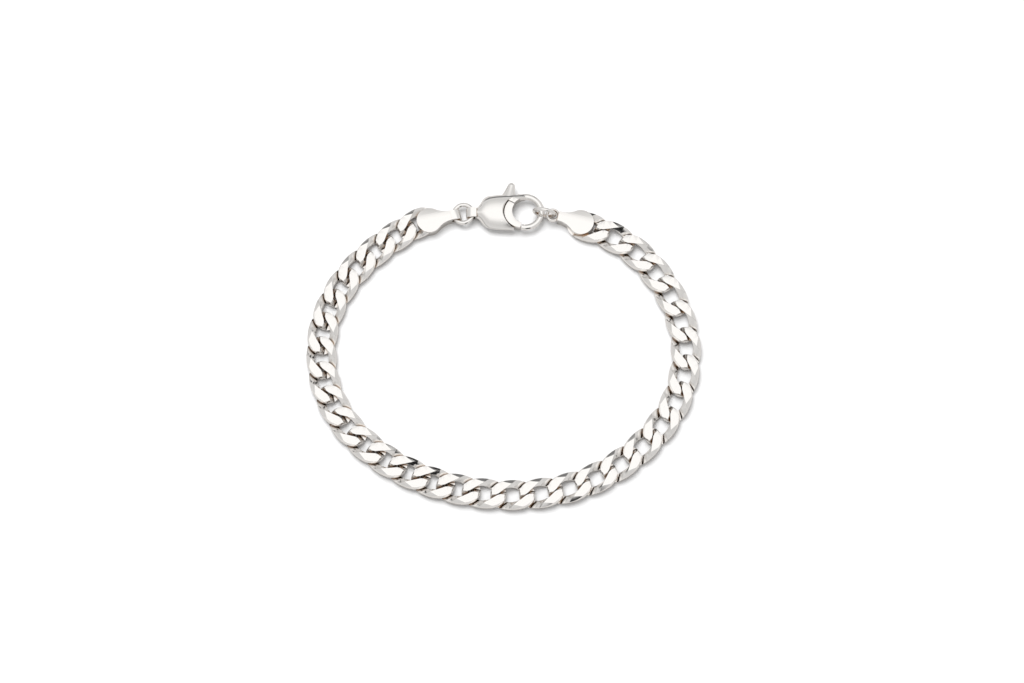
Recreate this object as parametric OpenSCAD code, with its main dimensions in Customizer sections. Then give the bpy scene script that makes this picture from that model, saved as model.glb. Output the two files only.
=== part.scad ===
// Flat curb-link bracelet with a lobster clasp, closed and lying flat.
// Millimetres, +Z up. The origin is the middle of the whole loop's box, on the surface it lies on.

/* [Chain] */
// Links in the chain, the two soldered to the end caps included
link_count = 33; // [29:1:37]
// Play of a link along the chain
link_play = 0.35; // [0.3:0.05:0.5]
// How much closer than average the first half's links lie, and farther apart the second half's
link_slack = 0.25; // [0:0.05:0.25]

/* [Link] */
// Length of a link
link_l = 8.75; // [8.4:0.05:9.1]
// Width of a link, which is the chain's width
link_w = 6.05; // [5.8:0.05:6.3]
// Thickness of a link after its faces are cut flat
link_t = 2.1; // [1.9:0.05:2.3]
// Wire across at a link's ends
end_wire = 1.5; // [1.4:0.05:1.6]
// Wire across at a link's long sides
side_wire = 1.6; // [1.5:0.05:1.7]
// Width of the bevel along the chain's edges, seen from above
bevel_w = 0.67; // [0.4:0.01:0.9]
// Slope of that bevel
bevel_slope = 33; // [25:1:45]

/* [End caps] */
// Radius of a cap's round end
cap_r = 2.55; // [2.3:0.05:2.8]
// Thickness of a cap
cap_t = 2.6; // [2.4:0.05:3]
// From the middle of the first link to the middle of the left cap's round end
left_cap_offset = 2.2; // [1.8:0.05:2.4]
// From the middle of the last link to the middle of the right cap's round end
right_cap_offset = 1.7; // [1.6:0.05:2.4]
// From the round end's middle to the start of the neck
neck_x = 4.4; // [4:0.1:5]
// Width of the neck
neck_w = 2; // [1.8:0.1:2.4]
// Radius of the gentle crown across a cap
cap_crown = 9; // [7:0.5:14]
// From the left cap's round end to its eye
left_eye_x = 5.25; // [5.1:0.05:6]
// From the right cap's round end to its eye
right_eye_x = 5.93; // [5.8:0.05:6.5]
// Outer radius of the right cap's round eye
right_eye_r = 1.45; // [1.4:0.05:1.7]
// Radius of the hole in the right cap's round eye
right_hole_r = 0.85; // [0.8:0.05:0.9]
// Thickness of the right cap's round eye
right_eye_t = 1.2; // [1:0.1:1.3]
// Wall of the left cap's eye and of the clasp's tail eye
eye_wall = 0.45; // [0.4:0.05:0.5]

/* [Rings] */
// Outer diameter of the ring between the left cap and the clasp
clasp_ring_d = 4.7; // [4.5:0.1:5.2]
// Wire of that ring
clasp_ring_wire = 0.9; // [0.8:0.05:1]
// Outer diameter of the ring that the hook catches
catch_ring_d = 4.9; // [4.7:0.1:5.4]
// Wire of that ring
catch_ring_wire = 0.75; // [0.65:0.05:0.85]

/* [Clasp] */
// Greatest thickness of the clasp
clasp_t = 3.5; // [3.3:0.1:3.9]
// From the tail eye to the middle of the hook's curve
hook_x = 10.75; // [10.4:0.05:11.2]
// How far the hook's middle lies to the lever's side of the tail eye
hook_y = 0.25; // [0.1:0.05:0.5]
// Radius of the middle of the hook's wire
hook_mid_r = 3.25; // [3.1:0.05:3.4]
// Diameter of the hook's wire
hook_wire = 1.24; // [1.1:0.02:1.3]
// Radius of the crown across the clasp
crown_across = 9; // [8.5:0.5:12]
// Radius of the crown along the clasp
crown_along = 18; // [16:1:24]
// Height of the clasp's shoulder on the lever's side
shoulder_y = 3.85; // [3.6:0.05:4.1]
// Height of the clasp's heel on the other side
heel_y = 3.15; // [3:0.05:3.3]
// From the tail eye to the thickest place
crown_x = 5.5; // [4.5:0.5:6.5]
// Width of the tail eye
tail_w = 1.9; // [1.7:0.1:2]
// Radius of the scooped recess round the hook's hole
recess_r = 3.5; // [3.4:0.05:3.6]
// How far the recess lies towards the tail from the hook's middle
recess_back = 0.95; // [0.8:0.05:1.05]
// Thickness left inside the recess
recess_t = 2.2; // [2.2:0.1:2.6]

/* [Lever] */
// Thickness of the lever's web and thumb tab
web_t = 1.1; // [0.9:0.05:1.15]
// Thickness of the gate
gate_t = 2; // [1.8:0.05:2.05]
// From the tail eye to the lever's pin
pivot_x = 6; // [5.8:0.05:6.1]
// From the tail eye's line to the lever's pin
pivot_y = 1.8; // [1.7:0.05:1.9]
// Diameter of the lever's pin
pin_d = 0.7; // [0.5:0.05:0.75]
// Radius of the lever round its pin
boss_r = 0.75; // [0.65:0.05:0.8]
// From the pin to the gate's upper end
gate_reach = 4.4; // [4.2:0.05:4.5]
// From the pin to the gate's tip at the hook's mouth
gate_tip_r = 4; // [3.85:0.05:4.1]
// From the tail eye to the thumb tab's tip, along the clasp
tab_x = 7.95; // [7.8:0.05:8.1]
// Height of the thumb tab's tip over the tail eye's line
tab_reach = 6.45; // [6.1:0.05:7]
// Radius of the thumb tab's tip
tab_r = 0.73; // [0.6:0.01:0.8]
// Angle that the lever swings
lever_swing = 22; // [16:1:24]
// Gap between the gate's tip and the hook's tip
mouth_gap = 0.2; // [0.15:0.05:0.3]

/* [Clearances] */
// Gap beside the lever and round the rings' wire in their eyes
play = 0.05; // [0.04:0.01:0.08]
// Radial gap of the pin in the lever
pin_play = 0.03; // [0.02:0.01:0.05]

/* [Hidden] */
$fn = 64;

// The chain's route: points chosen along the closed loop, counter-clockwise from the first link.
// The whole route is scaled so that the links and the clasp's pieces just close it.
route_points = [
    [-19.2, 24], [-27.4, 18.8], [-34, 11.5], [-37.8, 2], [-37.4, -8.5], [-33, -17.5], [-25.4, -24.5],
    [-16, -29.2], [-5.4, -31.6], [5.2, -31.6], [15.6, -28.9], [25, -22.8], [32.2, -13.6], [34.8, -2.6],
    [32.2, 8.6], [25.4, 18], [16.2, 23.6], [4.9, 26.6], [-7, 26.8]];
route_steps = 12;
route_n = len(route_points);

silver = [0.87, 0.86, 0.84];
bright_silver = [0.94, 0.93, 0.92];

// Link: rings round the loop and sides round the wire, before its faces are cut.
link_rings = 16;
link_pitch = link_l - 2 * end_wire - link_play;
hole_l = link_l - 2 * end_wire;
hole_w = link_w - 2 * side_wire;
hole_squareness = 1.85;
wire_h = link_t + 0.2;
wire_rise = 0.22 * link_t;
wire_shoulder = 0.54;
wire_section = [[1, 0], [wire_shoulder, 1], [-wire_shoulder, 1],
                [-1, 0], [-wire_shoulder, -1], [wire_shoulder, -1]];

// Lap: the slanted seat cut into each arm where the neighbouring link crosses it.
lap_dir = atan(1.11 * link_w / link_l);
lap_floor = 0.2;
lap_depth = link_t / 2 + lap_floor;
ridge_s = 0.302 * link_w;
link_support = norm([link_l / 2 * sin(lap_dir), link_w / 2 * cos(lap_dir)]);
ramp_run = ridge_s + link_pitch * sin(lap_dir) - link_support;
wall_foot = ridge_s + link_pitch / 2 * sin(lap_dir) + 0.18;
wall_slope = 83;

// Eyes on wire rings: a hole that clears a curved wire over the eye's width.
function link_name(k) = str("link_", k < 10 ? "0" : "", k);
function ring_r(d, wire) = (d - wire) / 2;
function sag(r, half) = r - sqrt(r * r - half * half);
clasp_ring_r = ring_r(clasp_ring_d, clasp_ring_wire);
catch_ring_r = ring_r(catch_ring_d, catch_ring_wire);
neck_sag = sag(clasp_ring_r, neck_w / 2);
tail_sag = sag(clasp_ring_r, tail_w / 2);
function eye_hole_r(half, bend) = clasp_ring_wire / 2 / cos(asin(half / clasp_ring_r)) + bend / 2 + 2 * play;
left_hole_r = eye_hole_r(neck_w / 2, neck_sag);
tail_hole_r = eye_hole_r(tail_w / 2, tail_sag);
tail_gap = clasp_ring_r - tail_sag / 2;
neck_gap = clasp_ring_r - neck_sag / 2;
left_eye_z = cap_t / 2;
clasp_z = clasp_t / 2;

// The catch ring stands on its edge, through the hook and down through the right cap's eye.
catch_z = catch_ring_d / 2;
catch_in = catch_ring_r - catch_ring_wire / 2;
catch_out = catch_ring_d / 2;
right_eye_top = cap_t - 0.3;
right_eye_bottom = right_eye_top - right_eye_t;
eye_near = sqrt(pow(catch_in, 2) - pow(catch_z - right_eye_bottom, 2));
eye_far = sqrt(pow(catch_out, 2) - pow(catch_z - right_eye_top, 2));
hook_room = catch_in - hook_wire / 2 - 2 * play;
hook_to_catch = sqrt(pow(hook_room, 2) - pow(catch_z - clasp_z, 2));
hook_end = hook_x + sqrt(pow(hook_mid_r, 2) - pow(hook_y, 2));

// Distances along the route, whose first point lies just past the middle of the first link.
first_link_at = -0.4;
function link_at(k) = first_link_at + k * link_pitch - link_slack * min(k, link_count - 1 - k);
right_round_at = link_at(link_count - 1) + right_cap_offset;
right_eye_at = right_round_at + right_eye_x;
catch_at = right_eye_at + (eye_near + eye_far) / 2;
hook_at = catch_at + hook_to_catch;
clasp_ring_at = hook_at + hook_end + tail_gap;
left_round_at = clasp_ring_at + neck_gap + left_eye_x;
loop_l = left_round_at + left_cap_offset - first_link_at;

// The route as a smooth closed curve through its points, measured along its length.
function spline(p, q, r, s, u) = 0.5 * (2 * q + (r - p) * u + (2 * p - 5 * q + 4 * r - s) * u * u
    + (3 * q - p - 3 * r + s) * u * u * u);
function point_of(i) = route_points[(i + route_n) % route_n];
curve = [for (i = [0 : route_n - 1]) for (j = [0 : route_steps - 1])
    spline(point_of(i - 1), point_of(i), point_of(i + 1), point_of(i + 2), j / route_steps)];
curve_n = len(curve);
function step_l(i) = norm(curve[(i + 1) % curve_n] - curve[i % curve_n]);
run = [for (i = 0, d = 0; i <= curve_n; d = d + step_l(i), i = i + 1) d];
route_scale = loop_l / run[curve_n];
run_x = [for (i = [0 : curve_n]) [run[i] * route_scale, curve[i % curve_n].x * route_scale]];
run_y = [for (i = [0 : curve_n]) [run[i] * route_scale, curve[i % curve_n].y * route_scale]];
function wrap(d) = d - loop_l * floor(d / loop_l);
function at(d) = [lookup(wrap(d), run_x), lookup(wrap(d), run_y)];
function heading(a, b) = atan2((at(b) - at(a)).y, (at(b) - at(a)).x);
function turned(v, a) = [v.x * cos(a) - v.y * sin(a), v.x * sin(a) + v.y * cos(a)];
function link_heading(k) = heading(link_at(k) - link_pitch / 2, link_at(k) + link_pitch / 2);
clasp_heading = heading(clasp_ring_at, hook_at);
tab_y = tab_reach - tab_r;

// The box of the whole loop: the links' rims all round, and the thumb tab's tip on its far side.
rims = [for (k = [0 : link_count - 1]) for (j = [0 : link_rings - 1])
    at(link_at(k)) + turned([link_l / 2 * cos(j * 360 / link_rings), link_w / 2 * sin(j * 360 / link_rings)],
                            link_heading(k))];
tab_tip = (at(clasp_ring_at) + turned([tail_gap + tab_x, tab_y], clasp_heading)).y + tab_r;
rims_x = [for (p = rims) p.x];
rims_y = [for (p = rims) p.y];
box_mid = [(min(rims_x) + max(rims_x)) / 2, (min(rims_y) + max(max(rims_y), tab_tip)) / 2];

// Clasp: the plate's edges lie just inside the hook's round wire.
hook_r = hook_mid_r + hook_wire / 2;
hole_r = hook_mid_r - hook_wire / 2;
plate_inset = 0.1;
plate_r = hook_r - plate_inset;
pivot = [pivot_x, -pivot_y];
mouth_x = hook_x - 2.3;
mouth_y = -1;

// Lever: the thumb tab's foot, and the angles round the pin that the gate and the web sweep.
tab_foot_l = 1.55;
tab_foot_r = 0.95;
tab_foot_y = hook_y + plate_r;
gate_from = -16;
gate_to = 80 + lever_swing + 3;
slot_from = atan2(tab_foot_y + pivot_y, tab_x + tab_foot_r - pivot_x) - 1.5;
slot_to = atan2(tab_foot_y + pivot_y, tab_x - tab_foot_l - pivot_x) + lever_swing + 2;
pin_fit = 0.02;
arc_steps = 8;

far = 30;

// Puts a piece at the distance d along the route, turned as the route runs from a to b.
module place(d, a, b) {
    p = at(d) - box_mid;
    translate([p.x, p.y, 0]) rotate([0, 0, heading(a, b)]) children();
}

// Repeats a cut on both faces and both sides of a link.
module four_ways() {
    for (turn = [[0, 0, 0], [0, 0, 180], [180, 0, 0], [0, 180, 0]]) rotate(turn) children();
}

function signed_pow(v, e) = sign(v) * pow(abs(v), e);
function wire_point(k, j) =
    let (t = 360 * k / link_rings,
         outer = [link_l / 2 * cos(t), link_w / 2 * sin(t)],
         inner = [hole_l / 2 * signed_pow(cos(t), 2 / hole_squareness),
                  hole_w / 2 * signed_pow(sin(t), 2 / hole_squareness)],
         flat_place = (outer + inner) / 2 + wire_section[j].x * (outer - inner) / 2)
    [flat_place.x, flat_place.y, -wire_rise * sin(2 * t) + wire_section[j].y * wire_h / 2];

// The oval of wire, its arms rising and falling in turn.
module wire_oval() {
    n = len(wire_section);
    polyhedron(
        points = [for (k = [0 : link_rings - 1]) for (j = [0 : n - 1]) wire_point(k, j)],
        faces = [for (k = [0 : link_rings - 1]) for (j = [0 : n - 1])
            let (k2 = (k + 1) % link_rings, j2 = (j + 1) % n)
            each [[k * n + j, k2 * n + j2, k2 * n + j], [k * n + j, k * n + j2, k2 * n + j2]]]);
}

module edge_bevel() {
    translate([-far, link_w / 2 - bevel_w, link_t / 2]) rotate([-bevel_slope, 0, 0])
        cube([2 * far, far, far]);
}

// A seat's profile runs across its ridge: down the ramp, along the floor, up the wall.
module lap_seat() {
    up = link_t;
    ramp_slope = atan(lap_depth / ramp_run);
    intersection() {
        rotate([0, 0, lap_dir - 90]) translate([-ridge_s, 0, 0]) rotate([90, 0, 0])
            linear_extrude(2 * link_l, center = true) polygon([
                [-up / tan(ramp_slope), link_t / 2 + up],
                [ramp_run, -lap_floor],
                [wall_foot, -lap_floor],
                [wall_foot + (lap_depth + up) / tan(wall_slope), link_t / 2 + up]]);
        translate([-far, 0, -far]) cube([2 * far, far, 2 * far]);
    }
}

module link_body() {
    translate([0, 0, link_t / 2]) difference() {
        intersection() {
            wire_oval();
            cube([2 * link_l, 2 * link_w, link_t], center = true);
        }
        four_ways() edge_bevel();
        four_ways() lap_seat();
    }
}

module placed_link(k) {
    place(link_at(k), link_at(k) - link_pitch / 2, link_at(k) + link_pitch / 2) link_body();
}

module chain_link(k) {
    color(silver) placed_link(k);
}

// A cap seen from above: its round end, then flanks that sweep in to the neck.
module cap_outline(end_x) {
    half = neck_w / 2;
    sweep_r = (neck_x * neck_x + half * half - cap_r * cap_r) / (2 * (cap_r - half));
    touch = cap_r / (cap_r + sweep_r) * [neck_x, half + sweep_r];
    circle(cap_r);
    difference() {
        polygon([[0, touch.y], touch, [neck_x, half], [end_x, half],
                 [end_x, -half], [neck_x, -half], [touch.x, -touch.y], [0, -touch.y]]);
        for (side = [-1, 1]) translate([neck_x, side * (half + sweep_r)]) circle(sweep_r, $fn = 128);
    }
}

module cap_plate(end_x) {
    intersection() {
        linear_extrude(cap_t) cap_outline(end_x);
        translate([-far, 0, cap_t - cap_crown]) rotate([0, 90, 0]) cylinder(h = 2 * far, r = cap_crown, $fn = 128);
    }
}

// An eye folded round a crosswise hole.
module folded_eye(r, width) {
    rotate([90, 0, 0]) cylinder(h = width, r = r, center = true);
}

module left_cap() {
    eye_r = left_hole_r + eye_wall;
    color(bright_silver) {
        place(left_round_at, left_round_at, clasp_ring_at) difference() {
            union() {
                cap_plate(neck_x + 0.1);
                translate([left_eye_x, 0, left_eye_z]) folded_eye(eye_r, neck_w);
                translate([neck_x - 0.3, -neck_w / 2, left_eye_z - eye_r])
                    cube([left_eye_x - neck_x + 0.3, neck_w, 2 * eye_r]);
            }
            translate([left_eye_x, 0, left_eye_z]) folded_eye(left_hole_r, 2 * neck_w);
        }
        placed_link(0);
    }
}

// The right cap's eye lies flat; its hole widens at both faces.
module round_eye() {
    flare = 0.2;
    rotate_extrude() polygon([
        [right_hole_r + flare, 0], [right_eye_r - flare, 0], [right_eye_r, flare],
        [right_eye_r, right_eye_t - flare], [right_eye_r - flare, right_eye_t],
        [right_hole_r + flare, right_eye_t], [right_hole_r, right_eye_t - flare], [right_hole_r, flare]]);
}

module right_cap() {
    neck_end = right_eye_x - right_hole_r - 0.35;
    color(bright_silver) {
        place(right_round_at, right_round_at, right_eye_at) {
            cap_plate(neck_end);
            translate([right_eye_x, 0, right_eye_bottom]) round_eye();
        }
        placed_link(link_count - 1);
    }
}

module wire_ring(mid_r, wire) {
    rotate_extrude() translate([mid_r, 0]) circle(d = wire, $fn = 32);
}

// Lies flat, sloping a little from the cap's eye up to the clasp's tail.
module clasp_ring() {
    slope = asin((clasp_z - left_eye_z) / (tail_gap + neck_gap));
    color(bright_silver) place(clasp_ring_at, left_round_at, hook_at)
        translate([0, 0, (left_eye_z + clasp_z) / 2]) rotate([0, -slope, 0])
            wire_ring(clasp_ring_r, clasp_ring_wire);
}

module catch_ring() {
    color(bright_silver) place(catch_at, right_eye_at, hook_at)
        translate([0, 0, catch_z]) rotate([90, 0, 0]) wire_ring(catch_ring_r, catch_ring_wire);
}

// The corners [x, y, r] of an outline, each rounded to its radius r.
function unit(v) = v / norm(v);
function corner_arc(a, b, c) = b.z == 0 ? [[b.x, b.y]] :
    let (p = [b.x, b.y], u = unit([a.x, a.y] - p), w = unit([c.x, c.y] - p),
         half = acos(u * w) / 2, mid = p + unit(u + w) * b.z / sin(half),
         start = p + u * b.z / tan(half) - mid, way = u.x * w.y - u.y * w.x > 0 ? -1 : 1)
    [for (i = [0 : arc_steps]) mid + turned(start, way * (180 - 2 * half) * i / arc_steps)];
function rounded(corners) = let (n = len(corners))
    [for (i = [0 : n - 1]) each corner_arc(corners[(i + n - 1) % n], corners[i], corners[(i + 1) % n])];

// The clasp seen from above: tail shoulders, straight back and the hook's round end.
module clasp_outline() {
    polygon(rounded([
        [0.5, tail_w / 2, 0], [1.25, 1.25, 0.8], [2.3, shoulder_y, 1.2], [hook_x, hook_y + plate_r, 0],
        [hook_x, hook_y - plate_r, 0], [2.8, -heel_y, 1.5], [1.2, -1.15, 0.8], [0.5, -tail_w / 2, 0]]));
    translate([hook_x, hook_y]) circle(plate_r, $fn = 128);
}

// The crown of both faces, across the clasp and along it.
module crown() {
    intersection_for (face = [-1, 1]) {
        intersection() {
            translate([-far, hook_y, clasp_z + face * (clasp_t / 2 - crown_across)]) rotate([0, 90, 0])
                cylinder(h = 2 * far, r = crown_across, $fn = 128);
            translate([crown_x, far, clasp_z + face * (clasp_t / 2 - crown_along)]) rotate([90, 0, 0])
                cylinder(h = 2 * far, r = crown_along, $fn = 256);
        }
    }
}

// A layer of thickness t in the middle of the clasp.
module layer(t) {
    translate([0, 0, clasp_z - t / 2]) linear_extrude(t) children();
}

// A sector round the lever's pin, from one angle to another.
module sector(r, from, to) {
    polygon(concat([pivot], [for (i = [0 : arc_steps])
        pivot + turned([r, 0], from + (to - from) * i / arc_steps)]));
}

module recess_circle(gap) {
    translate([hook_x - recess_back, hook_y - 0.2]) circle(recess_r - gap, $fn = 128);
}

// The hook's mouth, a quadrant that starts at its corner [x, y].
module mouth(x, y) {
    translate([x, y - far]) square(far);
}

// The gate's reach round the pin: its tip at the mouth, and farther at its upper end.
module gate_round(tip_r, upper_r) {
    translate(pivot) circle(tip_r, $fn = 128);
    intersection() {
        translate(pivot) circle(upper_r, $fn = 128);
        translate([-far, mouth_y]) square(2 * far);
    }
}

// Where the gate sits, open through both faces.
module gate_window() {
    layer(2 * clasp_t) intersection() {
        recess_circle(0);
        gate_round(gate_tip_r + mouth_gap, gate_reach + 2 * play);
    }
}

module lever_room() {
    layer(gate_t + 2 * play) sector(gate_reach + 2 * play, gate_from, gate_to);
    layer(gate_t + 2 * play) translate(pivot) circle(boss_r + 2 * play);
    layer(web_t + 2 * play) sector(2 * clasp_t + hook_mid_r, slot_from, slot_to);
}

module hook() {
    translate([hook_x, hook_y, clasp_z]) rotate([0, 0, -115]) rotate_extrude(angle = 225, $fn = 128)
        translate([hook_mid_r, 0]) circle(d = hook_wire, $fn = 32);
}

// Puts a piece of the clasp in place, its tail eye at the origin and its hook along x.
module place_clasp() {
    color(bright_silver) place(clasp_ring_at, clasp_ring_at, hook_at) translate([tail_gap, 0, 0]) children();
}

module clasp_body() {
    place_clasp() difference() {
        union() {
            difference() {
                intersection() {
                    layer(2 * clasp_t) clasp_outline();
                    crown();
                }
                layer(2 * clasp_t) translate([hook_x, hook_y]) circle(hole_r + plate_inset, $fn = 128);
                for (face = [-1, 1]) translate([0, 0, face * (recess_t / 2 + clasp_t)])
                    layer(2 * clasp_t) recess_circle(0);
                gate_window();
                lever_room();
            }
            hook();
            translate([0, 0, clasp_z]) folded_eye(tail_hole_r + eye_wall, tail_w);
            layer(2 * (tail_hole_r + eye_wall)) translate([0, -tail_w / 2]) square([0.9, tail_w]);
        }
        translate([0, 0, clasp_z]) folded_eye(tail_hole_r, 2 * tail_w);
        layer(2 * clasp_t) intersection() {
            mouth(mouth_x, mouth_y);
            translate(pivot) circle(gate_tip_r + mouth_gap, $fn = 128);
        }
        translate([pivot.x, pivot.y, -far / 2]) cylinder(h = far, d = pin_d + pin_fit);
    }
}

// The gate closes the hook's mouth; its tip stops short of the hook's tip.
module gate() {
    layer(gate_t) difference() {
        intersection() {
            union() {
                recess_circle(2 * play);
                mouth(mouth_x + 2 * play, mouth_y);
            }
            clasp_outline();
            gate_round(gate_tip_r, gate_reach);
        }
        translate([hook_x, hook_y]) circle(hole_r, $fn = 128);
    }
}

module clasp_lever() {
    place_clasp() difference() {
        union() {
            gate();
            layer(gate_t) translate(pivot) circle(boss_r);
            layer(web_t) polygon([
                pivot, pivot + [0.05, 0.7], [tab_x - tab_foot_l, tab_foot_y],
                [tab_x - 0.93 * tab_r, tab_y + 0.37 * tab_r], [tab_x + tab_r, tab_y],
                [tab_x + tab_foot_r, tab_foot_y], pivot + [2, 4.05], pivot + [1.85, 2.2],
                pivot + [1.8, -0.35]]);
            layer(web_t) translate([tab_x, tab_y]) circle(tab_r);
        }
        translate([pivot.x, pivot.y, -far / 2]) cylinder(h = far, d = pin_d + 2 * pin_play);
    }
}

// Filed flush with both faces.
module lever_pin() {
    place_clasp() intersection() {
        translate([pivot.x, pivot.y, 0]) cylinder(h = clasp_t, d = pin_d);
        crown();
    }
}

for (k = [1 : link_count - 2]) chain_link(k);
left_cap();
right_cap();
clasp_ring();
catch_ring();
clasp_body();
clasp_lever();
lever_pin();
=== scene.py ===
import math
import bpy
import bmesh
from mathutils import Matrix, Vector


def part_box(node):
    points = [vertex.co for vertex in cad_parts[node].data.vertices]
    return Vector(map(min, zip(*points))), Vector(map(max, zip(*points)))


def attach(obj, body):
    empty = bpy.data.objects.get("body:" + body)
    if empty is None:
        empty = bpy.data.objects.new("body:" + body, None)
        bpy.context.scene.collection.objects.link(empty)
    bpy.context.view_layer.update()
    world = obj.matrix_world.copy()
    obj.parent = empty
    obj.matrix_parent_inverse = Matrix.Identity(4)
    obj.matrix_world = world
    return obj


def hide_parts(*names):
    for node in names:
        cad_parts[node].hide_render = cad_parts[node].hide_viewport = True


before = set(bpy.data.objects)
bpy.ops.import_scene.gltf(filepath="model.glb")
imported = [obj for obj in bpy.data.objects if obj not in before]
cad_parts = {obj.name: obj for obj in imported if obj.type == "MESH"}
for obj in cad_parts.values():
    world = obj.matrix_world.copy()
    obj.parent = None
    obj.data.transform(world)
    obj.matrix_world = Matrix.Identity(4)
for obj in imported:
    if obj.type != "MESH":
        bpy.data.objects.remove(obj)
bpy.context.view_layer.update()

# Camera. It looks down on the bracelet from the front, 74 degrees up, through a long lens. The closed
# loop's middle lies a little left of and below the middle of the picture.
VIEW_CENTRE = Vector((0.00163, 0.00095, 0))
VIEW_DISTANCE = 0.569
VIEW_RISE = math.radians(74)

camera = bpy.data.objects.new("camera", bpy.data.cameras.new("camera"))
camera.data.lens = 100
camera.data.sensor_width = 36
camera.data.clip_start = 0.01
camera.data.clip_end = 20
camera.location = VIEW_CENTRE + VIEW_DISTANCE * Vector((0, -math.cos(VIEW_RISE), math.sin(VIEW_RISE)))
camera.rotation_euler = (math.pi / 2 - VIEW_RISE, 0, 0)
bpy.context.scene.collection.objects.link(camera)
bpy.context.scene.camera = camera


# Chain links. Each is drawn silver wire bent to an oval, twisted and soldered shut, so that its arms
# rise and fall in turn. The whole chain is then cut flat above and below, its edges are bevelled, and
# each arm slopes down in one flat facet to where the next link crosses it.
MM = 0.001
LINK_LONG, LINK_WIDE, LINK_THICK = 8.85, 6.05, 2.1
OUTLINE_SQUARENESS = 2.15
HOLE_LONG, HOLE_WIDE = 5.75, 2.85
HOLE_SQUARENESS = 1.85
WIRE_TALL = 2.56
ARM_RISE = 0.22 * LINK_THICK
ARM_LEAN = 0.32
EDGE_CUT_WIDE = 0.94
EDGE_CUT_SLOPE = math.radians(28)
EDGE_CUT_TURN = math.radians(-12)
RIDGE_TURN = math.radians(37.5)
RIDGE_WAY = Vector((math.sin(RIDGE_TURN), -math.cos(RIDGE_TURN), 0))
RIDGE_OUT, RIDGE_STEP = 1.8, 0.12
# A raised arm's end from above: out along the ridge, round the end and back below the arm's edge.
LIP_OUTLINE = [(0.4, -1.965), (2.72, -0.184), (3.1, -0.02), (3.45, 0.03), (3.8, -0.07), (4.05, -0.3),
               (4.15, -0.65), (4.1, -1.2), (3.6, -1.6), (2.5, -1.9), (1.2, -2.2)]
LIP_FOOT, LIP_THICK = 0.05, 0.25
LIP_SLOPE = math.radians(40)
SEAT_RUN, SEAT_FLOOR = 1.529, -0.2
END_FACET_AT = 0.05
END_FACET_SLOPE = math.radians(55)
LINK_EASE = 0.03
# The bevels meet the flats at 28 degrees, so an edge of a link counts as sharp from 24 on.
LINK_SHARP = 24
PAST_LINK = 12


def shown(name, mesh):
    """An object with this mesh, in the scene."""
    piece = bpy.data.objects.new(name, mesh)
    bpy.context.scene.collection.objects.link(piece)
    return piece


def mesh_of(name, bm):
    mesh = bpy.data.meshes.new(name)
    bm.to_mesh(mesh)
    bm.free()
    return mesh


def moved(bm, *moves):
    for move in moves:
        bmesh.ops.transform(bm, matrix=move, verts=bm.verts)
    return bm


def shift(x, y, z):
    return Matrix.Translation((x, y, z))


def turn(degrees, axis):
    return Matrix.Rotation(math.radians(degrees), 4, axis)


WELD = 0.002
FLAT_WITHIN = math.radians(0.6)
SORT_WAY = Vector((1, 0.3171, 0.0713))


def carve(body, *tools):
    """Cuts, joins or trims a mesh with others; each tool is what it does and its shape."""
    piece = shown("carved", mesh_of("carved", body))
    helpers = [piece]
    for what, bm in tools:
        helper = shown("tool", mesh_of("tool", bm))
        helpers.append(helper)
        cut = piece.modifiers.new("cut", "BOOLEAN")
        cut.operation = what
        cut.object = helper
        cut.solver = "EXACT"
    graph = bpy.context.evaluated_depsgraph_get()
    result = bpy.data.meshes.new_from_object(piece.evaluated_get(graph))
    for helper in helpers:
        bpy.data.objects.remove(helper)
    bm = bmesh.new()
    bm.from_mesh(result)
    bpy.data.meshes.remove(result)
    # Sorted along one line, so that the clean-up takes everything in the same order in every run.
    bm.verts.sort(key=lambda v: v.co.dot(SORT_WAY))
    bm.edges.sort(key=lambda e: (e.verts[0].co + e.verts[1].co).dot(SORT_WAY))
    bm.faces.sort(key=lambda f: f.calc_center_median().dot(SORT_WAY))
    bmesh.ops.remove_doubles(bm, verts=bm.verts, dist=WELD)
    bmesh.ops.dissolve_degenerate(bm, edges=bm.edges, dist=WELD)
    bmesh.ops.dissolve_limit(bm, angle_limit=FLAT_WITHIN, verts=bm.verts, edges=bm.edges)
    return bm


def ease_edges(bm, width, sharper_than, segments=2):
    """Rounds the sharp edges a little, as polishing does."""
    edges = [e for e in bm.edges if len(e.link_faces) == 2
             and e.calc_face_angle(0) > math.radians(sharper_than)]
    bmesh.ops.bevel(bm, geom=edges, offset=width, offset_type="OFFSET", segments=segments, profile=0.5,
                    affect="EDGES", clamp_overlap=True, material=-1)
    bmesh.ops.remove_doubles(bm, verts=bm.verts, dist=WELD / 2)
    return bm


def bar(corners, depth):
    """A prism: a polygon in the x-y plane, drawn out along z, with its middle at z = 0."""
    bm = bmesh.new()
    face = bm.faces.new([bm.verts.new((x, y, -depth / 2)) for x, y in corners])
    drawn = bmesh.ops.extrude_face_region(bm, geom=[face])
    tops = [v for v in drawn["geom"] if isinstance(v, bmesh.types.BMVert)]
    bmesh.ops.translate(bm, vec=(0, 0, depth), verts=tops)
    bmesh.ops.recalc_face_normals(bm, faces=bm.faces)
    return bm


def block(left, right, low, high, depth):
    return bar([(left, low), (right, low), (right, high), (left, high)], depth)


def wire_section(radius, out, sides=16):
    """A round section that stands in the x-z plane, this far out from the z axis."""
    bm = bmesh.new()
    bmesh.ops.create_circle(bm, segments=sides, radius=radius)
    return moved(bm, turn(90, "X"), shift(out, 0, 0))


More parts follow.
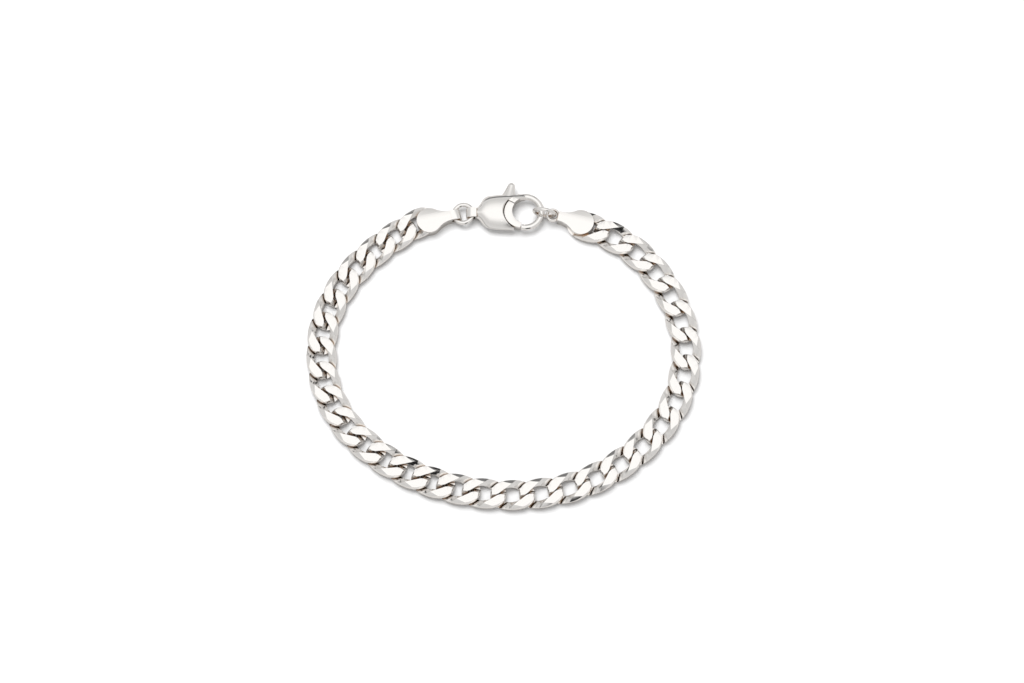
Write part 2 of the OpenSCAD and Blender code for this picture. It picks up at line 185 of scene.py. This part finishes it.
def spun(bm, steps, sweep=360):
    """A section in the x-z plane, spun round z."""
    whole = sweep == 360
    bmesh.ops.spin(bm, geom=bm.verts[:] + bm.edges[:], cent=(0, 0, 0), axis=(0, 0, 1), dvec=(0, 0, 0),
                   angle=math.radians(sweep), steps=steps, use_merge=whole, use_duplicate=False)
    bmesh.ops.remove_doubles(bm, verts=bm.verts, dist=1e-5)
    if not whole:
        bmesh.ops.holes_fill(bm, edges=bm.edges, sides=0)
    bmesh.ops.recalc_face_normals(bm, faces=bm.faces)
    return bm


def power(value, exponent):
    """A power that keeps the value's sign."""
    return math.copysign(abs(value) ** exponent, value)


def round_point(angle, long, wide, squareness):
    """A point on a rounded outline: an ellipse at squareness 2, and squarer above that."""
    return Vector((long / 2 * power(math.cos(angle), 2 / squareness),
                   wide / 2 * power(math.sin(angle), 2 / squareness)))


def wire_oval():
    """A round ring whose wire is drawn out to the link's oval, its arms rising, falling and leaning."""
    ring_middle, wire_round = 2, 0.5
    bm = spun(wire_section(wire_round, ring_middle, 28), 72)
    for v in bm.verts:
        angle = math.atan2(v.co.y, v.co.x)
        across = (math.hypot(v.co.x, v.co.y) - ring_middle) / wire_round
        outer = round_point(angle, LINK_LONG, LINK_WIDE, OUTLINE_SQUARENESS)
        inner = round_point(angle, HOLE_LONG, HOLE_WIDE, HOLE_SQUARENESS)
        fall = math.sin(2 * angle)
        lean = ARM_LEAN * fall * v.co.z / wire_round
        flat = (outer + inner) / 2 + across * (outer - inner) / 2 + lean * (outer - inner).normalized()
        v.co = (flat.x, flat.y, v.co.z * WIRE_TALL - ARM_RISE * fall)
    return bm


def trimmed(bm, point, away):
    """Cuts off what lies beyond a plane, on the side it faces, and closes the cut."""
    bmesh.ops.bisect_plane(bm, geom=bm.verts[:] + bm.edges[:] + bm.faces[:], plane_co=point,
                           plane_no=away, clear_outer=True)
    bmesh.ops.holes_fill(bm, edges=bm.edges, sides=0)
    bmesh.ops.recalc_face_normals(bm, faces=bm.faces)
    return bm


def edge_cut():
    """The bevel along a raised arm, from its end up to the ridge."""
    bm = moved(block(-PAST_LINK, PAST_LINK, 0, PAST_LINK, 2 * PAST_LINK), shift(0, 0, PAST_LINK),
               Matrix.Rotation(-EDGE_CUT_SLOPE, 4, "X"), Matrix.Rotation(EDGE_CUT_TURN, 4, "Z"),
               shift(0, LINK_WIDE / 2 - EDGE_CUT_WIDE, LINK_THICK / 2))
    return trimmed(bm, -RIDGE_OUT * RIDGE_WAY, RIDGE_WAY)


def lip():
    """The raised arm's inner edge: it carries the ridge on in a straight line over the next link."""
    top = LINK_THICK / 2
    bm = moved(bar(LIP_OUTLINE, top + LIP_FOOT), shift(0, 0, (top - LIP_FOOT) / 2))
    under = -math.cos(LIP_SLOPE) * RIDGE_WAY - math.sin(LIP_SLOPE) * Vector((0, 0, 1))
    return trimmed(bm, RIDGE_OUT * RIDGE_WAY + Vector((0, 0, top - LIP_THICK)), under)


def seat_cut():
    """The facet that slopes down to the crossing and the floor below it."""
    top = LINK_THICK / 2
    bm = moved(bar([(0, 2 * top), (0, top - RIDGE_STEP), (SEAT_RUN, SEAT_FLOOR), (PAST_LINK, SEAT_FLOOR),
                    (PAST_LINK, 2 * top)], 2 * PAST_LINK),
               turn(90, "X"), shift(-RIDGE_OUT, 0, 0), Matrix.Rotation(RIDGE_TURN - math.pi / 2, 4, "Z"))
    steep = (0, -math.sin(END_FACET_SLOPE), -math.cos(END_FACET_SLOPE))
    return trimmed(bm, (0, END_FACET_AT, top), steep)


def four_ways(what, make):
    """One thing done on both faces and both arms of a link."""
    return [(what, moved(make(), way))
            for way in (Matrix.Identity(4), turn(180, "Z"), turn(180, "X"), turn(180, "Y"))]


link_slab = block(-8, 8, -6, 6, LINK_THICK)
link_shape = carve(wire_oval(), *four_ways("UNION", lip), ("INTERSECT", link_slab),
                   *four_ways("DIFFERENCE", edge_cut), *four_ways("DIFFERENCE", seat_cut))
ease_edges(link_shape, LINK_EASE, LINK_SHARP)


def maths(tree, what, first, second=0, clamp=False):
    node = tree.nodes.new("ShaderNodeMath")
    node.operation = what
    node.use_clamp = clamp
    for socket, value in zip(node.inputs, (first, second)):
        if isinstance(value, (int, float)):
            socket.default_value = value
        else:
            tree.links.new(value, socket)
    return node.outputs[0]


def fade(tree, value, start, end, way="LINEAR"):
    """0 where the value is at the start, rising to 1 where it reaches the end."""
    node = tree.nodes.new("ShaderNodeMapRange")
    node.interpolation_type = way
    node.inputs["From Min"].default_value = start
    node.inputs["From Max"].default_value = end
    tree.links.new(value, node.inputs["Value"])
    return node.outputs[0]


# How open and how shut a corner is, by ambient occlusion, where the painted shade and tarnish begin and
# where they are full.
CORNER_OPEN, CORNER_SHUT = 0.7, 0.2
CLOUD_SCALE, CLOUD_STARTS = 900, 0.4
TARNISH_AND_SHADE_LEAST, TARNISH_AND_SHADE_CLOUD = 0.6, 0.7
CLOUD_ROUGHNESS, CORNER_ROUGHNESS = 0.16, 0.15
MARK_SCALE, MARK_STRETCH = 2600, (1, 9, 1)


def surface_group():
    """Polished silver's surface: tarnish and painted shade in the corners, a brown colour where ambient
    occlusion finds them, and faint polishing marks.
    """
    tree = bpy.data.node_groups.new("polished_silver", "ShaderNodeTree")
    for name, kind in (("Bright", "NodeSocketColor"), ("Tarnish and painted shade", "NodeSocketColor"),
                       ("Corner reach", "NodeSocketFloat"), ("Smooth", "NodeSocketFloat"),
                       ("Marks", "NodeSocketFloat")):
        tree.interface.new_socket(name, in_out="INPUT", socket_type=kind)
    for name, kind in (("Colour", "NodeSocketColor"), ("Roughness", "NodeSocketFloat"),
                       ("Height", "NodeSocketFloat")):
        tree.interface.new_socket(name, in_out="OUTPUT", socket_type=kind)
    given = tree.nodes.new("NodeGroupInput")
    result = tree.nodes.new("NodeGroupOutput")
    place = tree.nodes.new("ShaderNodeTexCoord").outputs["Object"]

    def noise(scale, detail, stretch=(1, 1, 1)):
        spread = tree.nodes.new("ShaderNodeMapping")
        spread.inputs["Scale"].default_value = stretch
        tree.links.new(place, spread.inputs[0])
        node = tree.nodes.new("ShaderNodeTexNoise")
        node.inputs["Scale"].default_value = scale
        node.inputs["Detail"].default_value = detail
        tree.links.new(spread.outputs[0], node.inputs["Vector"])
        return node.outputs["Fac"]

    # Painted shade and tarnish: where ambient occlusion finds the surface shut in, its colour turns to
    # the darker brown one, in patches.
    corner = tree.nodes.new("ShaderNodeAmbientOcclusion")
    corner.samples = 6
    tree.links.new(given.outputs["Corner reach"], corner.inputs["Distance"])
    shade = fade(tree, corner.outputs["AO"], CORNER_OPEN, CORNER_SHUT)
    cloud = noise(CLOUD_SCALE, 3)
    patchy = maths(tree, "ADD", TARNISH_AND_SHADE_LEAST, maths(tree, "MULTIPLY", cloud, TARNISH_AND_SHADE_CLOUD))
    tarnish_and_shade_mask = maths(tree, "MULTIPLY", shade, patchy)
    tone = tree.nodes.new("ShaderNodeMix")
    tone.data_type = "RGBA"
    tree.links.new(tarnish_and_shade_mask, tone.inputs["Factor"])
    tree.links.new(given.outputs["Bright"], tone.inputs["A"])
    tree.links.new(given.outputs["Tarnish and painted shade"], tone.inputs["B"])
    tree.links.new(tone.outputs["Result"], result.inputs["Colour"])
    clouded = maths(tree, "SUBTRACT", cloud, CLOUD_STARTS, clamp=True)
    rough = maths(tree, "ADD", given.outputs["Smooth"], maths(tree, "MULTIPLY", clouded, CLOUD_ROUGHNESS))
    rough = maths(tree, "ADD", rough, maths(tree, "MULTIPLY", tarnish_and_shade_mask, CORNER_ROUGHNESS))
    tree.links.new(rough, result.inputs["Roughness"])
    marks = maths(tree, "MULTIPLY", noise(MARK_SCALE, 4, MARK_STRETCH), given.outputs["Marks"])
    tree.links.new(marks, result.inputs["Height"])
    return tree


silver_surface = surface_group()
MARK_STRENGTH, MARK_DEPTH = 0.15, 0.02 * MM


def silver(name, bright, tarnish_and_shade, smooth, corner_reach, marks):
    """A silver finish: the shared surface with its own colours, gloss and marks; the second colour is
    tarnish and painted shade for the corners.
    """
    material = bpy.data.materials.new(name)
    material.use_nodes = True
    nodes, links = material.node_tree.nodes, material.node_tree.links
    shader = nodes["Principled BSDF"]
    shader.inputs["Metallic"].default_value = 1
    skin = nodes.new("ShaderNodeGroup")
    skin.node_tree = silver_surface
    skin.inputs["Bright"].default_value = (*bright, 1)
    skin.inputs["Tarnish and painted shade"].default_value = (*tarnish_and_shade, 1)
    skin.inputs["Corner reach"].default_value = corner_reach
    skin.inputs["Smooth"].default_value = smooth
    skin.inputs["Marks"].default_value = marks
    bump = nodes.new("ShaderNodeBump")
    bump.inputs["Strength"].default_value = MARK_STRENGTH
    bump.inputs["Distance"].default_value = MARK_DEPTH
    links.new(skin.outputs["Colour"], shader.inputs["Base Color"])
    links.new(skin.outputs["Roughness"], shader.inputs["Roughness"])
    links.new(skin.outputs["Height"], bump.inputs["Height"])
    links.new(bump.outputs["Normal"], shader.inputs["Normal"])
    return material


# The chain's darker brown is tarnish and painted shade, laid into its corners.
chain_silver = silver("cut_chain_silver", bright=(0.89, 0.875, 0.86), tarnish_and_shade=(0.5, 0.35, 0.23),
                      smooth=0.08, corner_reach=0.9 * MM, marks=0.6)


def finish(name, bm, place, material, body, slot, *nodes, smooth=30):
    """Puts a piece made in millimetres where it goes, and gives it its finish and its body."""
    bmesh.ops.triangulate(bm, faces=bm.faces)
    bmesh.ops.dissolve_degenerate(bm, edges=bm.edges, dist=WELD)
    mesh = mesh_of(name, bm)
    mesh.transform(place @ Matrix.Scale(MM, 4))
    mesh.materials.append(material)
    for face in mesh.polygons:
        face.use_smooth = True
    mesh.set_sharp_from_angle(angle=math.radians(smooth))
    piece = shown(name, mesh)
    flats = piece.modifiers.new("flats", "WEIGHTED_NORMAL")
    flats.keep_sharp = True
    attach(piece, body)
    if nodes:
        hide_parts(*nodes)
    return piece


def lay_link(name, middle, heading, material, slot, *nodes):
    place = shift(middle.x, middle.y, LINK_THICK / 2 * MM) @ Matrix.Rotation(heading, 4, "Z")
    return finish(name, link_shape.copy(), place, material, "bracelet", slot, *nodes, smooth=LINK_SHARP)


def packed_place(name):
    """The middle of a link and the direction it runs in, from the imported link's own points."""
    points = [v.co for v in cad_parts[name].data.vertices]
    low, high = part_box(name)
    middle = (low + high) / 2
    xx = sum((p.x - middle.x) ** 2 for p in points)
    yy = sum((p.y - middle.y) ** 2 for p in points)
    xy = sum((p.x - middle.x) * (p.y - middle.y) for p in points)
    return Vector((middle.x, middle.y)), 0.5 * math.atan2(2 * xy, xx - yy)


places = [packed_place(f"link_{k:02d}") for k in range(1, 32)]
for k, (middle, heading) in enumerate(places, 1):
    lay_link(f"cut_link_{k:02d}", middle, heading, chain_silver, "chain_silver", f"link_{k:02d}")


# End caps. Each is a strap of sheet silver, domed and soldered over the chain's last link, that
# narrows to a neck. The left one's end is folded round the jump ring; the right one ends in a round eye.
CAP_ROUND, CAP_THICK, CAP_CROWN = 2.55, 2.6, 9
CAP_EDGE, CROWN_STRIP = 0.3, 0.3
NECK_START, NECK_WIDE = 4.4, 2.0
LEFT_CAP = shift(-0.0150369, 0.0257844, 0) @ turn(12.84, "Z")
RIGHT_CAP = shift(0.0155842, 0.0253843, 0) @ turn(164.65, "Z")

# The hardware's darker brown is tarnish and painted shade, laid into its corners and recesses.
hardware_silver = silver("polished_clasp_silver", bright=(0.9, 0.885, 0.87), tarnish_and_shade=(0.55, 0.41, 0.29),
                         smooth=0.05, corner_reach=0.8 * MM, marks=0.3)


def rod(radius, depth, sides=96):
    """A round rod along z, with its middle at z = 0."""
    bm = bmesh.new()
    bmesh.ops.create_cone(bm, cap_ends=True, segments=sides, radius1=radius, radius2=radius, depth=depth)
    return bm


def cap_plate(end):
    """The round end and the neck, with flanks that sweep in."""
    half = NECK_WIDE / 2
    sweep = (NECK_START ** 2 + half ** 2 - CAP_ROUND ** 2) / (2 * (CAP_ROUND - half))
    share = CAP_ROUND / (CAP_ROUND + sweep)
    touch_x, touch_y = share * NECK_START, share * (half + sweep)
    upper = [(0, touch_y), (touch_x, touch_y), (NECK_START, half), (end, half)]
    neck = carve(bar(upper + [(x, -y) for x, y in reversed(upper)], 2 * CAP_THICK),
                 ("DIFFERENCE", moved(rod(sweep, 4 * CAP_THICK), shift(NECK_START, half + sweep, 0))),
                 ("DIFFERENCE", moved(rod(sweep, 4 * CAP_THICK), shift(NECK_START, -half - sweep, 0))))
    slab = moved(block(-9, 9, -9, 9, CAP_THICK), shift(0, 0, CAP_THICK / 2))
    return carve(rod(CAP_ROUND, 2 * CAP_THICK), ("UNION", neck), ("INTERSECT", slab))


def crowned(bm):
    """Eases a cap's edges and bends its upper face down a little to both sides."""
    ease_edges(bm, CAP_EDGE, 40, 4)
    for step in range(-8, 9):
        bmesh.ops.bisect_plane(bm, geom=bm.verts[:] + bm.edges[:] + bm.faces[:],
                               plane_co=(0, CROWN_STRIP * step, 0), plane_no=(0, 1, 0))
    for v in bm.verts:
        if v.co.z > CAP_THICK / 2:
            v.co.z -= v.co.y ** 2 / (2 * CAP_CROWN)
    return bm


def beyond(near, next_one, third):
    """Where the chain's next link lies, carried on from three links' places."""
    step, before = near - next_one, next_one - third
    bend = -before.angle_signed(step)
    length = 2 * step.length - before.length
    angle = math.atan2(step.y, step.x) + bend
    return near + length * Vector((math.cos(angle), math.sin(angle))), angle + bend / 2


first_place = beyond(*[middle for middle, _ in places[:3]])
last_place = beyond(*[middle for middle, _ in places[:-4:-1]])
lay_link("left_end_link", *first_place, hardware_silver, "clasp_silver", "left_cap")
lay_link("right_end_link", *last_place, hardware_silver, "clasp_silver", "right_cap")

FOLD_AT, FOLD_OUT, FOLD_HOLE = 5.25, 1.22, 0.77
STRAP_FROM, FOLD_EDGE = 4, 0.12
# The fold starts as a rod whose inner half is drawn out square, to where the strap comes in.
fold = rod(FOLD_OUT, NECK_WIDE, 64)
for v in fold.verts:
    if v.co.x < -WELD:
        v.co.xy = (STRAP_FROM - FOLD_AT, math.copysign(FOLD_OUT, v.co.y))
bmesh.ops.remove_doubles(fold, verts=fold.verts, dist=WELD)
fold = ease_edges(carve(fold, ("DIFFERENCE", rod(FOLD_HOLE, 4 * NECK_WIDE, 48))), FOLD_EDGE, 50, 3)
moved(fold, turn(90, "X"), shift(FOLD_AT, 0, CAP_THICK / 2))
finish("left_cap_plate", crowned(cap_plate(NECK_START + 0.05)), LEFT_CAP, hardware_silver,
       "bracelet", "clasp_silver", "left_cap")
finish("left_cap_fold", fold, LEFT_CAP, hardware_silver, "bracelet", "clasp_silver", "left_cap")

EYE_AT, EYE_MID, EYE_WALL, EYE_TALL, EYE_HIGH = 5.93, 1.15, 0.3, 1.2, 1.7
finish("right_cap_plate", crowned(cap_plate(EYE_AT - EYE_MID)), RIGHT_CAP, hardware_silver,
       "bracelet", "clasp_silver", "right_cap")
eye_wall = moved(wire_section(EYE_WALL, 0), Matrix.Scale(EYE_TALL / (2 * EYE_WALL), 4, (0, 0, 1)),
                 shift(EYE_MID, 0, 0))
eye = moved(spun(eye_wall, 64), shift(EYE_AT, 0, EYE_HIGH))
finish("right_cap_eye", eye, RIGHT_CAP, hardware_silver, "bracelet", "clasp_silver", "right_cap")


# Jump rings. Round silver wire, soldered shut. One lies flat between the left cap and the clasp's
# tail; the other stands on its edge, held by the right cap's eye and caught by the hook.
def ring(name, mid_radius, wire, tilt, heading, node):
    """A ring of this wire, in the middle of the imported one's box."""
    low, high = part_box(node)
    middle = (low + high) / 2
    place = Matrix.Translation(middle) @ turn(heading, "Z") @ tilt
    finish(name, spun(wire_section(wire / 2, mid_radius, 24), 72), place, hardware_silver,
           "bracelet", "clasp_silver", node)


ring("clasp_jump_ring", 1.9, 0.9, turn(-7.3, "Y"), 5.5, "clasp_ring")
ring("catch_jump_ring", 2.075, 0.75, turn(90, "X"), 169.5, "catch_ring")


# Clasp body. One casting, polished all over: a puffed body that runs from the tail eye into the
# hook's round wire, scooped out round the hook's hole on both faces.
CLASP = shift(-0.0064365, 0.0273463, 0.00175) @ turn(0.19, "Z")
HOOK = Vector((10.75, 0.25, 0))
HOOK_MID, HOOK_WIRE = 3.25, 0.62
HOOK_TIP, HOOK_ROOT = -118, 112
HOLE_ROUND, CASTING_HOLE_ROUND = 2.63, 2.73
PIN = Vector((6, -1.8, 0))
GATE_TIP, GATE_UPPER, GATE_PLAY = 4.0, 4.4, 0.1
MOUTH_FROM, MOUTH_GAP = 8.45, 0.2
SCOOP = Vector((9.8, 0.05, 0))
SCOOP_ROUND, SCOOP_FOOT, SCOOP_RIM = 3.5, 3.4, 4.0
SCOOP_LEFT_THICK, SCOOP_TALL = 1.1, 1.2
TAIL_EYE, TAIL_HOLE, TAIL_WIDE = 1.19, 0.747, 1.9
TAB_THICK, TAB_SLOT = 1.1, 1.5
TAB_SWING = (60, 116)
GATE_THICK = 2.0
GATE_SWING = (-16, 45, 105)
PAST_CLASP, THROUGH = 20, 9
# Each rib: the distance from the tail eye, the lower and upper edge, and half the thickness there.
RIBS = [(0.45, -0.92, 0.92, 0.95), (0.9, -0.98, 1.02, 1.02), (1.35, -1.32, 1.48, 1.15),
        (1.8, -1.82, 2.2, 1.32), (2.25, -2.4, 2.98, 1.46), (2.8, -2.92, 3.44, 1.56),
        (3.6, -3.28, 3.74, 1.66), (4.9, -3.47, 3.92, 1.75), (6.8, -3.58, 4.06, 1.68),
        (8.5, -3.62, 4.1, 1.5), (9.6, -3.6, 4.08, 1.34), (10.75, -3.53, 4.03, 1.12)]
TAB_SIDE_SQUARENESS, MOUTH_SIDE_SLOPE = 2.2, 1.7


def puffed(ribs, sides=56):
    """Ribs across x, bridged to one closed skin; they slope down more to the mouth's side."""
    bm = bmesh.new()
    rims = []
    for x, low, high, half in ribs:
        made = bmesh.ops.create_circle(bm, segments=sides, radius=1)["verts"]
        for v in made:
            angle = math.atan2(v.co.y, v.co.x)
            flat = round_point(angle, high - low, 2 * half, TAB_SIDE_SQUARENESS)
            if v.co.x < 0:
                flat = Vector(((high - low) / 2 * math.cos(angle),
                               half * power(math.sin(angle), MOUTH_SIDE_SLOPE)))
            v.co = (x, (low + high) / 2 + flat.x, flat.y)
        rims.append([e for e in bm.edges if all(v in made for v in e.verts)])
    for one, other in zip(rims, rims[1:]):
        bmesh.ops.bridge_loops(bm, edges=one + other)
    bmesh.ops.holes_fill(bm, edges=bm.edges, sides=0)
    bmesh.ops.recalc_face_normals(bm, faces=bm.faces)
    return bm


def scoop(*moves):
    """The scooped recess of the upper face, its wall leaning outward."""
    bm = bmesh.new()
    bmesh.ops.create_cone(bm, cap_ends=True, segments=96, radius1=SCOOP_FOOT, radius2=SCOOP_RIM,
                          depth=SCOOP_TALL)
    return moved(bm, shift(SCOOP.x, SCOOP.y, SCOOP_LEFT_THICK + SCOOP_TALL / 2), *moves)


def round_pin(radius, depth=8):
    return moved(rod(radius, depth), shift(*PIN))


def gate_way(tip, upper):
    """What the gate may reach round its pin: less at the mouth, more at its upper end."""
    above_mouth = block(-PAST_CLASP, PAST_CLASP, -1, PAST_CLASP, THROUGH)
    return carve(round_pin(tip), ("UNION", carve(round_pin(upper), ("INTERSECT", above_mouth))))


def wedge(angles, depth):
    """A wedge-shaped slab with its point on the pin."""
    ways = [Vector((math.cos(math.radians(a)), math.sin(math.radians(a)), 0)) for a in angles]
    return bar([corner.xy for corner in (PIN, *[PIN + PAST_CLASP * way for way in ways])], depth)


hook_end = moved(wire_section(HOOK_WIRE, HOOK_MID, 24), turn(HOOK_TIP, "Z"))
hook_wire = moved(spun(hook_end, 46, HOOK_ROOT - HOOK_TIP), shift(*HOOK))
tail = moved(rod(TAIL_EYE, TAIL_WIDE, 64), turn(90, "X"))
tail_bar = block(0, 0.9, -TAIL_WIDE / 2, TAIL_WIDE / 2, 2 * TAIL_EYE)
tail_hole = moved(rod(TAIL_HOLE, 4 * TAIL_WIDE, 48), turn(90, "X"))
window = carve(moved(rod(SCOOP_ROUND, THROUGH), shift(*SCOOP)),
               ("INTERSECT", gate_way(GATE_TIP + MOUTH_GAP, GATE_UPPER + GATE_PLAY)))
mouth = carve(block(MOUTH_FROM, PAST_CLASP, -PAST_CLASP, -1, THROUGH),
              ("INTERSECT", round_pin(GATE_TIP + MOUTH_GAP, 10)))
gate_room = carve(round_pin(GATE_UPPER + GATE_PLAY),
                  ("INTERSECT", wedge(GATE_SWING, GATE_THICK + GATE_PLAY)))
casting_hole = moved(rod(CASTING_HOLE_ROUND, THROUGH), shift(*HOOK))
lower_scoop = scoop(turn(180, "X"), shift(0, 2 * SCOOP.y, 0))
shell = carve(puffed(RIBS), ("DIFFERENCE", wedge(TAB_SWING, TAB_SLOT)), ("DIFFERENCE", gate_room),
              ("DIFFERENCE", casting_hole), ("DIFFERENCE", scoop()), ("DIFFERENCE", lower_scoop),
              ("DIFFERENCE", window))
casting = carve(shell, ("UNION", hook_wire), ("UNION", tail), ("UNION", tail_bar),
                ("DIFFERENCE", tail_hole), ("DIFFERENCE", mouth))
finish("clasp_casting", casting, CLASP, hardware_silver, "bracelet", "clasp_silver", "clasp_body",
       smooth=38)


# Lever. Thumb tab, web and gate are one piece of flat silver that swings on a rivet through the
# body; a hidden spring holds the gate against the hook's tip.
TAB_FOOT, TAB_TIP = Vector((7.3, 3.2, 0)), Vector((7.95, 5.72, 0))
TAB_FOOT_ROUND, TAB_TIP_ROUND = 1.45, 0.76
GATE_ROUND, GATE_EDGE = 3.3, 0.18
RIVET_ROUND, RIVET_LONG = 0.35, 2.4

tab_way = TAB_TIP - TAB_FOOT
tab = bmesh.new()
bmesh.ops.create_cone(tab, cap_ends=True, segments=48, radius1=TAB_FOOT_ROUND, radius2=TAB_TIP_ROUND,
                      depth=tab_way.length)
moved(tab, tab_way.to_track_quat("Z", "Y").to_matrix().to_4x4(),
      Matrix.Translation((TAB_FOOT + TAB_TIP) / 2))
tab_end = bmesh.new()
bmesh.ops.create_uvsphere(tab_end, u_segments=48, v_segments=24, radius=TAB_TIP_ROUND)
tab = carve(tab, ("UNION", moved(tab_end, Matrix.Translation(TAB_TIP))))
moved(tab, Matrix.Scale(TAB_THICK / (2 * TAB_TIP_ROUND), 4, (0, 0, 1)))
finish("thumb_tab", tab, CLASP, hardware_silver, "lever", "clasp_silver", "clasp_lever")

gate_slab = block(-PAST_CLASP, PAST_CLASP, -PAST_CLASP, PAST_CLASP, GATE_THICK)
gate = carve(moved(rod(GATE_ROUND, THROUGH), shift(*SCOOP)), ("INTERSECT", gate_slab),
             ("INTERSECT", gate_way(GATE_TIP, GATE_UPPER)),
             ("DIFFERENCE", moved(rod(HOLE_ROUND, 12), shift(*HOOK))))
ease_edges(gate, GATE_EDGE, 50, 3)
finish("gate", gate, CLASP, hardware_silver, "lever", "clasp_silver", "clasp_lever")

rivet = round_pin(RIVET_ROUND, RIVET_LONG)
finish("lever_rivet", rivet, CLASP, hardware_silver, "bracelet", "clasp_silver", "lever_pin")


# Studio. A white sheet of paper under a broad lamp at the back, in a pale room that is brightest
# overhead. A grey band along the back wall and a few dark stands give the silver its contrast.
PAPER_SEEN, PAPER_REFLECTED = (0.745, 0.749, 0.757, 1), (0.5, 0.49, 0.48, 1)
# Each tone of the room: how far up, and how bright.
ROOM_TONES = ((0, 0.45), (0.15, 0.6), (0.3, 0.76), (0.6, 0.68), (0.75, 0.78), (0.87, 1.02), (0.94, 1.13))
BACK_GREY = 0.2
# Each stand: its direction and half width in degrees, and how high it reaches.
STANDS = ((66, 6, 0.3), (106, 4, 0.07), (141, 9, 0.12))
STAND_GREY = 0.015
FRONT_STAND_WAY, FRONT_STAND_GREY = -78, 0.02

floor_bm = bmesh.new()
bmesh.ops.create_grid(floor_bm, x_segments=1, y_segments=1, size=3)
floor = shown("floor", mesh_of("floor", floor_bm))
paper = bpy.data.materials.new("white_paper")
paper.use_nodes = True
nodes, links = paper.node_tree.nodes, paper.node_tree.links
nodes.remove(nodes["Principled BSDF"])
seen = nodes.new("ShaderNodeBsdfDiffuse")
seen.inputs["Color"].default_value = PAPER_SEEN
reflected = nodes.new("ShaderNodeBsdfDiffuse")
reflected.inputs["Color"].default_value = PAPER_REFLECTED
ray = nodes.new("ShaderNodeLightPath")
either = nodes.new("ShaderNodeMixShader")
links.new(ray.outputs["Is Camera Ray"], either.inputs[0])
links.new(reflected.outputs[0], either.inputs[1])
links.new(seen.outputs[0], either.inputs[2])
links.new(either.outputs[0], nodes["Material Output"].inputs["Surface"])
floor.data.materials.append(paper)

world = bpy.data.worlds.new("studio")
bpy.context.scene.world = world
world.use_nodes = True
air = world.node_tree
parts = air.nodes.new("ShaderNodeSeparateXYZ")
air.links.new(air.nodes.new("ShaderNodeTexCoord").outputs["Generated"], parts.inputs[0])
east, north, up = parts.outputs
height = air.nodes.new("ShaderNodeValToRGB")
air.links.new(up, height.inputs[0])
tones = height.color_ramp.elements
tones.remove(tones[1])
for place, grey in ROOM_TONES:
    tone = tones[0] if place == 0 else tones.new(place)
    tone.color = (grey, grey * 0.99, grey * 0.975, 1)


def soft(value, start, end):
    return fade(air, value, start, end, "SMOOTHSTEP")


def both(one, other):
    return maths(air, "MULTIPLY", one, other)


def darken(colour, tarnish_and_shade_mask, grey):
    node = air.nodes.new("ShaderNodeMix")
    node.data_type = "RGBA"
    air.links.new(tarnish_and_shade_mask, node.inputs["Factor"])
    air.links.new(colour, node.inputs["A"])
    node.inputs["B"].default_value = (grey, grey, grey, 1)
    return node.outputs["Result"]


bearing = maths(air, "ARCTAN2", north, east)


def aside(direction):
    """How far a place in the room lies to either side of a direction."""
    return maths(air, "ABSOLUTE", maths(air, "SUBTRACT", bearing, math.radians(direction)))


back_band = both(soft(north, 0.75, 0.93), both(soft(up, 0.1, 0.17), soft(up, 0.4, 0.33)))
front_stand = both(soft(aside(FRONT_STAND_WAY), math.radians(14), math.radians(7)),
                   both(soft(up, 0.79, 0.6), soft(up, 0.02, 0.05)))
room = darken(height.outputs[0], back_band, BACK_GREY)
room = darken(room, front_stand, FRONT_STAND_GREY)
for direction, half_width, top in STANDS:
    stand = both(soft(aside(direction), math.radians(half_width), math.radians(half_width - 2)),
                 both(soft(up, top + 0.03, top), soft(up, -0.12, -0.1)))
    room = darken(room, stand, STAND_GREY)
air.links.new(room, air.nodes["Background"].inputs["Color"])

lamp = bpy.data.objects.new("key_lamp", bpy.data.lights.new("key_lamp", "AREA"))
lamp.data.shape = "DISK"
lamp.data.size = 0.8
lamp.data.energy = 12
lamp.visible_glossy = False
lamp.location = (-0.22, 0.42, 1.0)
lamp.rotation_euler = (-lamp.location).to_track_quat("-Z", "Y").to_euler()
bpy.context.scene.collection.objects.link(lamp)

bpy.context.scene.view_settings.view_transform = "Standard"
